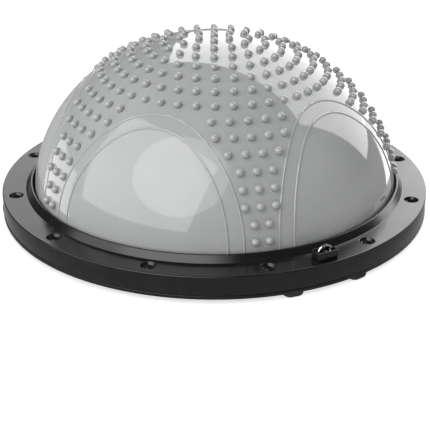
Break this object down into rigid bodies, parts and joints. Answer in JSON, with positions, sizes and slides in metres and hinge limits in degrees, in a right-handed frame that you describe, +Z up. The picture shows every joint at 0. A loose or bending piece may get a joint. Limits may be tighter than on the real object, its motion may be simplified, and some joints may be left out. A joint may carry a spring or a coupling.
{
  "type": "balance dome trainer",
  "caption": "Inflated half-ball balance dome with a nubbed top on a round base, with D-rings for resistance cords and a plugged valve underneath.",
  "frame": {"origin": "on the floor, under the middle of the dome", "axes": "+Z up through the dome's pole; -Y towards the front D-ring; +X to the right seen from the front"},
  "size_m": [0.581, 0.581, 0.2356],
  "materials": {
    "base_plastic": "fine-textured black moulded plastic, semi-gloss",
    "dome_pvc": "glossy grey PVC",
    "valve_pvc": "moulded soft PVC",
    "plug_plastic": "white polyethylene, satin",
    "screw_black": "black oxide steel",
    "screw_zinc": "bright zinc plated",
    "foot_rubber": "matt black rubber",
    "ring_chrome": "polished chrome plating"
  },
  "bodies": {
    "base": {"base_plate": "base_plastic", "clamp_ring": "base_plastic", "dome_bladder": "dome_pvc", "valve_seat": "valve_pvc", "rim_screw_01": "screw_black", "rim_screw_02": "screw_black", "rim_screw_03": "screw_black", "rim_screw_04": "screw_black", "rim_screw_05": "screw_black", "rim_screw_06": "screw_black", "rim_screw_07": "screw_black", "rim_screw_08": "screw_black", "rim_screw_09": "screw_black", "rim_screw_10": "screw_black", "rim_screw_11": "screw_black", "rim_screw_12": "screw_black", "rubber_foot_01": "foot_rubber", "rubber_foot_02": "foot_rubber", "rubber_foot_03": "foot_rubber", "rubber_foot_04": "foot_rubber", "rubber_foot_05": "foot_rubber", "rubber_foot_06": "foot_rubber", "ring_bracket_front": "base_plastic", "ring_bracket_rear": "base_plastic", "bracket_screw_front_01": "screw_zinc", "bracket_screw_front_02": "screw_zinc", "bracket_screw_rear_01": "screw_zinc", "bracket_screw_rear_02": "screw_zinc"},
    "valve_plug": {"valve_plug": "plug_plastic"},
    "d_ring_front": {"d_ring_front": "ring_chrome"},
    "d_ring_rear": {"d_ring_rear": "ring_chrome"}
  },
  "joints": [
    {"name": "d_ring_front_hinge", "type": "hinge", "parent": "base", "child": "d_ring_front", "pos_m": [0, -0.275, 0.0415], "axis": [1, 0, 0], "range_deg": [-30, 30]},
    {"name": "d_ring_rear_hinge", "type": "hinge", "parent": "base", "child": "d_ring_rear", "pos_m": [0, 0.275, 0.0415], "axis": [-1, 0, 0], "range_deg": [-30, 30]},
    {"name": "valve_plug_slide", "type": "slide", "parent": "base", "child": "valve_plug", "axis": [0, 0, -1], "range_m": [0, 0.07]}
  ]
}
